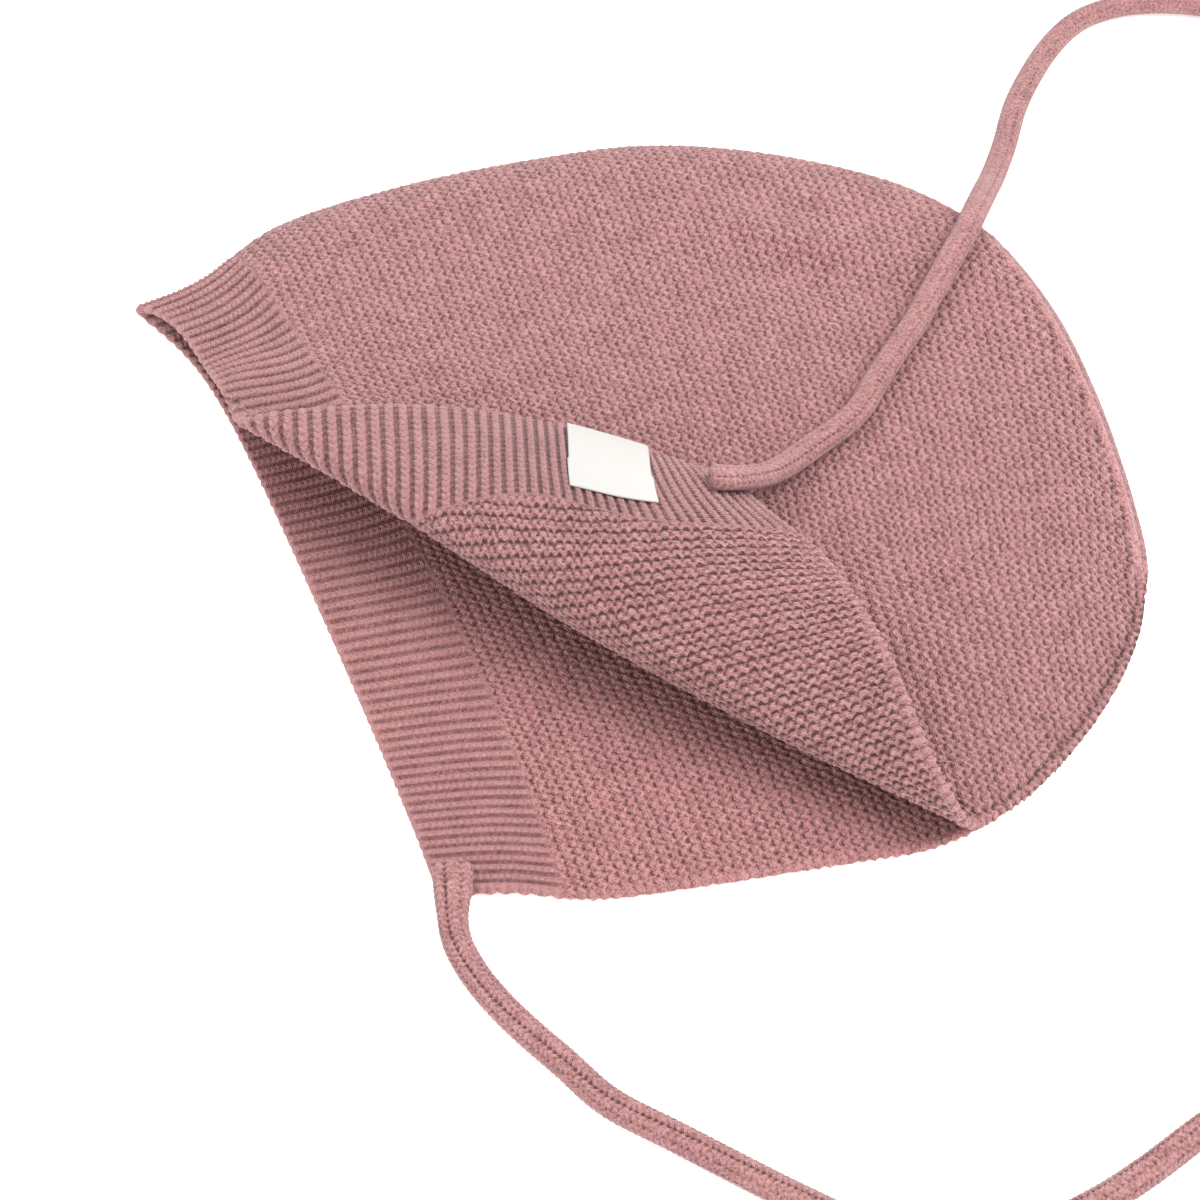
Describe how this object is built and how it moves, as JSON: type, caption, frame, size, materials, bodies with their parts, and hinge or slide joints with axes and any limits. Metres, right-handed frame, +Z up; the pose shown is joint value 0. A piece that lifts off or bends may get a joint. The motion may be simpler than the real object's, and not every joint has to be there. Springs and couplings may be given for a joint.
{
  "type": "baby bonnet",
  "caption": "Knitted baby bonnet lying flat on its side, ribbed face edge, front corner turned back, ties loose.",
  "frame": {"origin": "on the table plane, under the middle of the bonnet's bounding box, ties left out", "axes": "+X from the face opening towards the nape, +Y from the neck edge towards the top fold, +Z up from the table"},
  "size_m": [0.2899, 0.3657, 0.036],
  "materials": {
    "wool": "fine garter knit, dusty rose",
    "rib_wool": "one by one rib knit, dusty rose",
    "tie_wool": "plain knitted tube, dusty rose",
    "white_tape": "smooth white woven tape"
  },
  "bodies": {
    "root": {"crown": "wool", "front_band": "rib_wool", "label": "white_tape", "tie_upper": "tie_wool", "tie_lower": "tie_wool"}
  },
  "joints": []
}
